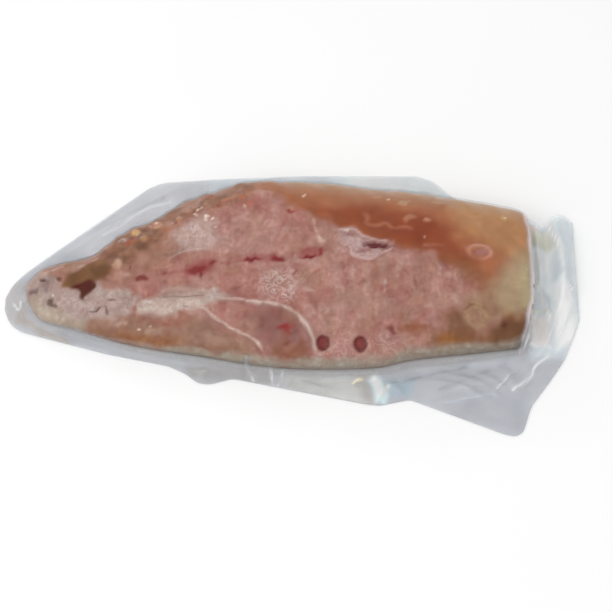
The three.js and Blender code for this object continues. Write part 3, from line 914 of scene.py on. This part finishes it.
def paint_film(x, y, top, height, on_fish):
    """The upper film's colour and haze: plain, then its zones, the painted highlights and shade of its folds
    and the painted shade at the fillet's foot.
    """
    ground = on_ground(x, y)
    warp = np.column_stack([noise(ground, 7, 95), noise(ground, 7, 96)])
    xy = ground[:, :2] + 0.8 * warp
    colour = np.tile(FILM_PLAIN, (x.size, 1))
    slope = np.hypot(*np.gradient(height, GRID_STEP)).ravel()
    haze = FILM_HAZE * (1 - STEEP_CLEARING * ease(*STEEP_SLOPE, slope))
    for tone, milk, strength, softness, outline in FILM_TONES_HIGHLIGHTS_AND_SHADE:
        body = strength * inside(xy, outline, softness)
        colour = mix(colour, srgb(*tone), body)
        haze += (milk - haze) * body
    upright = ease(*UPRIGHT_SLOPE, slope) * (1 - ease(*END_FILM, x.ravel()))
    haze *= 1 - UPRIGHT_CLEARING * upright
    colour = colour * (1 + 0.1 * layered(ground, 16, 98))[:, None]
    haze *= 1 - (1 - CONTACT_HAZE) * on_fish.ravel()
    broken = noise(ground, 3.0, 97)
    # Painted highlights and painted shade along the folds, which also make the film hazier there.
    for tone, strength, width, line in FOLD_HIGHLIGHTS_AND_SHADE:
        distance, _, _ = by_line(xy, smooth_line(line))
        whole = strength * (0.9 + 0.5 * broken * (width < 1))
        body = np.clip(whole * np.exp(-(distance / width) ** 2), 0, 1)
        colour = mix(colour, srgb(*tone), body)
        haze = np.maximum(haze, PAINTED_FOLD_HAZE * body)
    # Painted shade: a dark crease line in the film just below the fillet's front foot.
    foot = np.where(top > 0, y, np.inf).min(axis=1, keepdims=True)
    below = np.exp(-((y - foot + FOOT_SHADE_DROP) / FOOT_SHADE_WIDTH) ** 2) * ease(*FOOT_SHADE_START, x)
    colour = mix(colour, FOOT_SHADE, 0.75 * below.ravel())
    return np.clip((colour - FLOOR_SHARE) / HAZE_SHARE, 0.02, 1), haze


def film_mesh(name, x, y, z):
    corners = np.column_stack([x.ravel(), y.ravel(), z.ravel()]) * MM
    number = np.arange(x.size).reshape(x.shape)
    faces = np.stack([number[:-1, :-1], number[1:, :-1], number[1:, 1:], number[:-1, 1:]], axis=-1)
    mesh = bpy.data.meshes.new(name)
    mesh.from_pydata(corners.tolist(), [], faces.reshape(-1, 4).tolist())
    mesh.update()
    mesh.shade_smooth()
    return mesh


def film_piece(name, node, mesh):
    """A film as a thin solid that stands for its CAD node."""
    piece = bpy.data.objects.new(name, mesh)
    bpy.context.scene.collection.objects.link(piece)
    solid = piece.modifiers.new("thickness", "SOLIDIFY")
    solid.thickness = FILM_THICKNESS * MM
    solid.offset = 1
    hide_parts(node)
    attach(piece, "root")
    return piece


def make_pouch(fillet):
    x, y = film_grid()
    top = flesh_top(fillet, x, y)
    upper = drape(x, y, top)
    lower = np.zeros(x.shape)
    material = film_material()
    upper_mesh = film_mesh("film_upper", x, y, upper)
    lower_mesh = film_mesh("film_lower", x, y, lower)
    on_fish = (top > 0).astype(float)
    for _ in range(CONTACT_SOFTENING):
        on_fish = np.maximum(on_fish, sum(shifted(on_fish)) / 4)
    plain_colour = np.tile((FILM_PLAIN - FLOOR_SHARE) / HAZE_SHARE, (x.size, 1))
    plain = plain_colour, FILM_HAZE * (1 - (1 - CONTACT_HAZE) * on_fish.ravel())
    painted = paint_film(x, y, top, upper, on_fish)
    for mesh, (colour, haze) in ((upper_mesh, painted), (lower_mesh, plain)):
        store_colour(mesh, "film_colour", colour)
        store_number(mesh, "haze", haze)
        mesh.materials.append(material)
    film_piece("film_lower", "pouch_lower_film", lower_mesh)
    film_piece("film_upper", "pouch_upper_film", upper_mesh)


# --- Materials ---

class Nodes:
    """A material's node tree, with short ways to add and join nodes."""

    def __init__(self, name):
        self.material = bpy.data.materials.new(name)
        self.material.use_nodes = True
        self.tree = self.material.node_tree
        self.tree.nodes.clear()

    def add(self, kind, settings=None, **inputs):
        node = self.tree.nodes.new("ShaderNode" + kind)
        for name, value in (settings or {}).items():
            setattr(node, name, value)
        for name, value in inputs.items():
            self.join(node.inputs[name.replace("_", " ")], value)
        return node

    def attribute(self, name, output):
        return self.add("Attribute", {"attribute_name": name}).outputs[output]

    def noise(self, scale, detail=4.0, stretch=(1.0, 1.0, 1.0), distortion=0.0):
        """Noise with scale lumps to the metre. Lumps are stretch times narrower along each axis."""
        place = self.add("TexCoord").outputs["Object"]
        place = self.add("Mapping", Vector=place, Scale=stretch).outputs["Vector"]
        node = self.add("TexNoise", Vector=place, Scale=scale, Detail=detail, Distortion=distortion)
        return node.outputs["Fac"]

    def ramp(self, value, low, high, to_low=0.0, to_high=1.0):
        node = self.add("MapRange", Value=value)
        for name, number in (("From Min", low), ("From Max", high), ("To Min", to_low), ("To Max", to_high)):
            node.inputs[name].default_value = number
        return node.outputs["Result"]

    def blend(self, share, first, second, kind="MIX"):
        node = self.add("Mix", {"data_type": "RGBA", "blend_type": kind})
        self.join(node.inputs[0], share)
        self.join(node.inputs[6], first)
        self.join(node.inputs[7], second)
        return node.outputs[2]

    def join(self, socket, value):
        if isinstance(value, bpy.types.NodeSocket):
            self.tree.links.new(value, socket)
        else:
            socket.default_value = value

    def maths(self, operation, first, second):
        node = self.add("Math", {"operation": operation})
        self.join(node.inputs[0], first)
        self.join(node.inputs[1], second)
        return node.outputs[0]

    def finish(self, shader):
        self.add("OutputMaterial", Surface=shader)
        return self.material


def flesh_material():
    """Moist flesh: painted colour, mottled and fibrous but for the glassy brown, with crinkled frost."""
    n = Nodes("flesh")
    painted = n.attribute("flesh_colour", "Color")
    frost = n.attribute("frost", "Fac")
    meaty = n.ramp(n.attribute("glassy", "Fac"), 0.0, 1.0, 1.0, 0.3)
    fine = n.noise(900.0, 6.0)
    blotch = n.noise(190.0, 4.0, distortion=1.2)
    fibres = n.noise(120.0, 5.0, stretch=(3.2, 1.0, 1.0), distortion=0.6)
    veins = n.noise(260.0, 9.0, distortion=0.8)

    # Mottling, pale fibres, specks, faint threads and frost.
    darker = n.maths("MULTIPLY", n.ramp(blotch, 0.5, 0.68, 0.0, 0.36), meaty)
    tone = n.blend(darker, painted, (0.72, 0.54, 0.5, 1), "MULTIPLY")
    paler = n.maths("MULTIPLY", n.ramp(blotch, 0.48, 0.36, 0.0, 0.34), meaty)
    tone = n.blend(paler, tone, (1.28, 1.45, 1.48, 1), "MULTIPLY")
    light_fibres = n.maths("MULTIPLY", n.ramp(fibres, 0.52, 0.72, 0.0, 0.6), meaty)
    tone = n.blend(light_fibres, tone, (1.2, 1.34, 1.36, 1), "MULTIPLY")
    tone = n.blend(n.ramp(fine, 0.5, 0.72, 0.0, 0.8), tone, (1.14, 1.2, 1.22, 1), "MULTIPLY")
    ridged = n.maths("ABSOLUTE", n.maths("SUBTRACT", veins, 0.5), 0.0)
    crinkle = n.ramp(ridged, 0.05, 0.0, 0.08, 0.85)
    threads = n.maths("MULTIPLY", crinkle, n.maths("MULTIPLY", meaty, 0.3))
    tone = n.blend(threads, tone, (1.5, 1.75, 1.8, 1), "MULTIPLY")
    white = n.maths("MULTIPLY", crinkle, frost)
    tone = n.blend(white, tone, (0.6, 0.48, 0.46, 1))

    # Gloss and relief.
    rough = n.ramp(n.maths("ADD", blotch, frost), 0.3, 1.4, 0.32, 0.6)
    relief = n.maths("ADD", blotch, n.maths("MULTIPLY", fine, 0.35))
    relief = n.maths("ADD", relief, n.maths("MULTIPLY", white, 0.5))
    bump = n.add("Bump", Strength=0.4, Distance=0.0006, Height=relief)
    shader = n.add("BsdfPrincipled", Normal=bump.outputs["Normal"], Roughness=rough)
    n.join(shader.inputs["Base Color"], tone)
    shader.inputs["Subsurface Weight"].default_value = 0.2
    shader.inputs["Subsurface Radius"].default_value = (1.0, 0.35, 0.22)
    shader.inputs["Subsurface Scale"].default_value = 0.002
    shader.inputs["Specular IOR Level"].default_value = 0.12
    return n.finish(shader.outputs["BSDF"])


def film_material():
    """Clear film: hazy where it is loose, nearly clear where it lies on the flesh."""
    n = Nodes("pouch_film")
    cloud = n.noise(45.0, 3.0)
    fine = n.noise(260.0, 3.0)
    haze = n.maths("MULTIPLY", n.attribute("haze", "Fac"), n.ramp(cloud, 0.3, 0.75, 0.8, 1.2))
    relief = n.maths("ADD", cloud, n.maths("MULTIPLY", fine, 0.25))
    bump = n.add("Bump", Strength=0.25, Distance=0.0005, Height=relief)
    normal = bump.outputs["Normal"]
    clear = n.add("BsdfTransparent")
    gloss = n.add("BsdfGlossy", Roughness=0.13, Normal=normal)
    veil = n.add("BsdfPrincipled", Roughness=0.3, Normal=normal)
    n.join(veil.inputs["Base Color"], n.attribute("film_colour", "Color"))
    facing = n.add("LayerWeight", Blend=0.5, Normal=normal).outputs["Facing"]
    edge = n.ramp(n.maths("POWER", facing, 4.0), 0.0, 1.0, GLOSS_FACING, GLOSS_EDGE)
    shiny = n.add("MixShader")
    for index, socket in enumerate((edge, clear.outputs["BSDF"], gloss.outputs["BSDF"])):
        n.join(shiny.inputs[index], socket)
    whole = n.add("MixShader")
    for index, socket in enumerate((haze, shiny.outputs["Shader"], veil.outputs["BSDF"])):
        n.join(whole.inputs[index], socket)
    return n.finish(whole.outputs["Shader"])


def floor_material():
    n = Nodes("floor")
    shader = n.add("BsdfPrincipled", Roughness=0.85)
    tint = n.blend(n.ramp(n.noise(6.0, 2.0), 0.3, 0.7), (0.88, 0.88, 0.88, 1), (0.9, 0.9, 0.9, 1))
    n.join(shader.inputs["Base Color"], tint)
    return n.finish(shader.outputs["BSDF"])


# --- Studio ---

def make_floor():
    half = FLOOR_HALF
    mesh = bpy.data.meshes.new("floor")
    corners = [(-half, -half, 0), (half, -half, 0), (half, half, 0), (-half, half, 0)]
    mesh.from_pydata(corners, [], [(0, 1, 2, 3)])
    mesh.materials.append(floor_material())
    floor = bpy.data.objects.new("floor", mesh)
    floor.location.z = -FLOOR_DROP
    bpy.context.scene.collection.objects.link(floor)


def add_light(name, place, size, power):
    """A soft square light that faces the object."""
    data = bpy.data.lights.new(name, "AREA")
    data.energy = power
    data.size = size
    light = bpy.data.objects.new(name, data)
    light.location = place
    light.rotation_mode = "QUATERNION"
    light.rotation_quaternion = (-Vector(place)).to_track_quat("-Z", "Y")
    bpy.context.scene.collection.objects.link(light)


def make_light():
    world = bpy.data.worlds.new("studio")
    world.use_nodes = True
    world.node_tree.nodes["Background"].inputs["Color"].default_value = (1, 1, 1, 1)
    world.node_tree.nodes["Background"].inputs["Strength"].default_value = SKY_STRENGTH
    bpy.context.scene.world = world
    for name, place, size, power in LIGHTS:
        add_light(name, place, size, power)
    bpy.context.scene.view_settings.view_transform = "Standard"


def make_camera():
    data = bpy.data.cameras.new("camera")
    data.lens = LENS
    data.sensor_width = SENSOR
    distance = VIEW_WIDTH / 2 / (SENSOR / 2 / LENS)
    angle = math.radians(VIEW_ELEVATION)
    back = Vector((0, -math.cos(angle), math.sin(angle)))
    camera = bpy.data.objects.new("camera", data)
    camera.location = Vector(VIEW_AIM) + back * distance
    camera.rotation_mode = "QUATERNION"
    camera.rotation_quaternion = (-back).to_track_quat("-Z", "Y")
    bpy.context.scene.collection.objects.link(camera)
    bpy.context.scene.camera = camera


make_camera()
make_light()
make_floor()
make_pouch(make_fillet())
